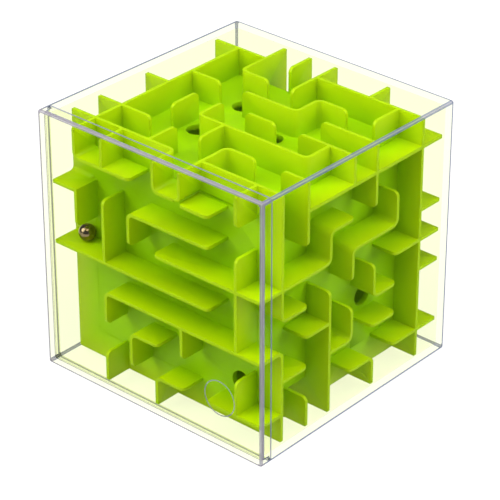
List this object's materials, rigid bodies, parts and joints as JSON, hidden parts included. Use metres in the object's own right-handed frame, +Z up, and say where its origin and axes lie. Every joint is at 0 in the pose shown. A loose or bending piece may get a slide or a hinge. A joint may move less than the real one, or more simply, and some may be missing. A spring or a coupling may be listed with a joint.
{
  "type": "maze ball puzzle cube",
  "caption": "Hand-held puzzle: a steel ball rolls through a green walled maze cube inside a clear plastic box with a push-on lid",
  "frame": {"origin": "centre of the underside of the closed clear cube", "axes": "+Z up, -Y towards the lid, which slides off that way, +X to the right as seen from the lid"},
  "size_m": [0.08, 0.08, 0.08],
  "materials": {
    "clear_plastic": "moulded clear polystyrene, glossy",
    "green_plastic": "moulded translucent lime green plastic, satin gloss",
    "polished_steel": "polished bearing steel"
  },
  "bodies": {
    "case": {"clear_box": "clear_plastic"},
    "maze": {"maze_plate_front": "green_plastic", "maze_plate_back": "green_plastic", "maze_plate_left": "green_plastic", "maze_plate_right": "green_plastic", "maze_plate_top": "green_plastic", "maze_plate_bottom": "green_plastic"},
    "lid": {"clear_lid": "clear_plastic"},
    "ball": {"steel_ball": "polished_steel"}
  },
  "joints": [
    {"name": "maze_slide", "type": "slide", "parent": "case", "child": "maze", "axis": [0, -1, 0], "range_m": [0, 0.085]},
    {"name": "lid_pull", "type": "slide", "parent": "maze", "child": "lid", "axis": [0, -1, 0], "range_m": [0, 0.06]},
    {"name": "ball_roll", "type": "slide", "parent": "maze", "child": "ball", "axis": [1, 0, 0], "range_m": [-0.0053, 0.0083]}
  ]
}
